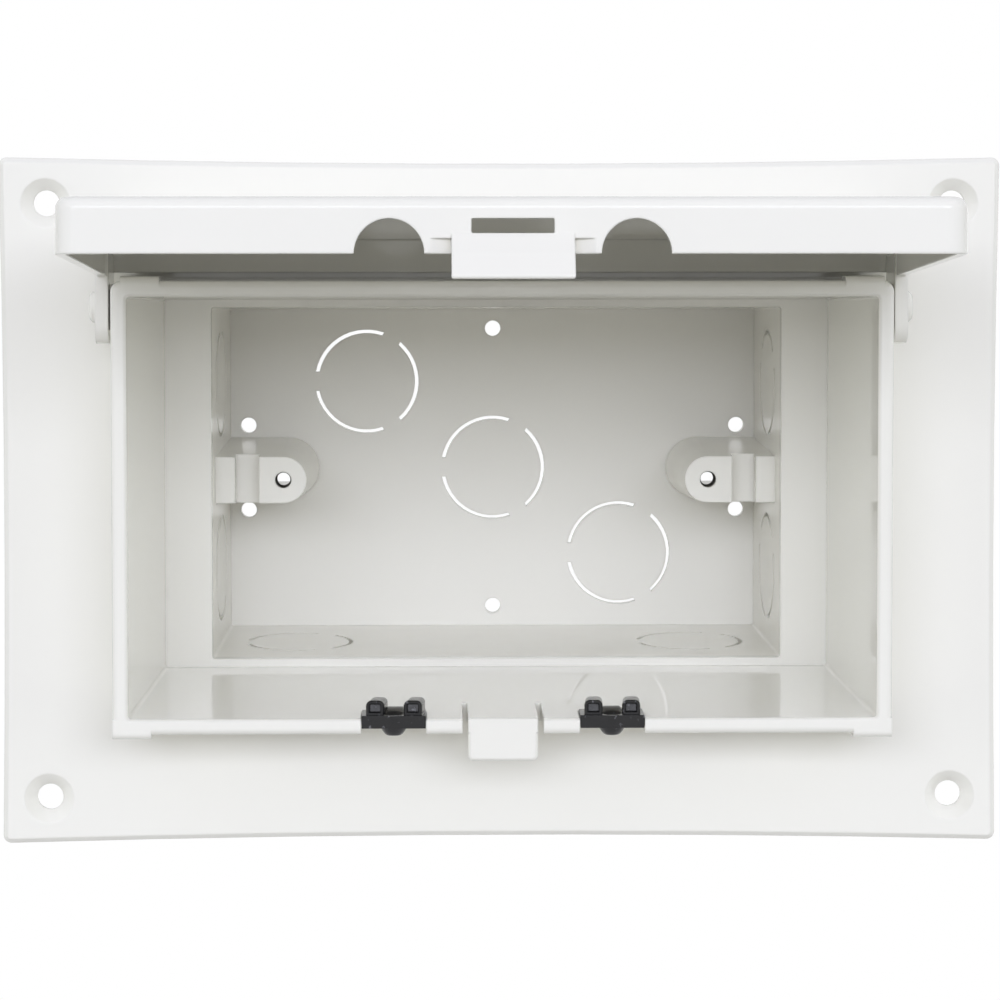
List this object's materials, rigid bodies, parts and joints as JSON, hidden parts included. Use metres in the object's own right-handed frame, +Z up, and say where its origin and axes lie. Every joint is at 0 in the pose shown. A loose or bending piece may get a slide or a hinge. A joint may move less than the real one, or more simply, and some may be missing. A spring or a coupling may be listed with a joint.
{
  "type": "weatherproof recessed box",
  "caption": "Recessed weatherproof wall box: screw-on flange, raised rim with cord seals and a snap latch, stepped inner box with knockouts and device lugs, and a hinged lid that swings up.",
  "frame": {"origin": "centre of the flange's back face, on the wall's surface", "axes": "+X to the right seen from the front, +Y into the wall, +Z up"},
  "size_m": [0.185, 0.17, 0.1274],
  "materials": {
    "white_plastic": "semi-gloss moulded white",
    "lid_plastic": "glossy moulded white",
    "black_rubber": "smooth black rubber",
    "bush_steel": "dark plated steel"
  },
  "bodies": {
    "body": {"enclosure": "white_plastic", "cord_seal_left": "black_rubber", "cord_seal_right": "black_rubber", "lug_bush_left": "bush_steel", "lug_bush_right": "bush_steel"},
    "lid": {"lid": "lid_plastic"}
  },
  "joints": [
    {"name": "lid_hinge", "type": "hinge", "parent": "body", "child": "lid", "pos_m": [0, -0.013, 0.0364], "axis": [1, 0, 0], "range_deg": [0, 94]}
  ]
}
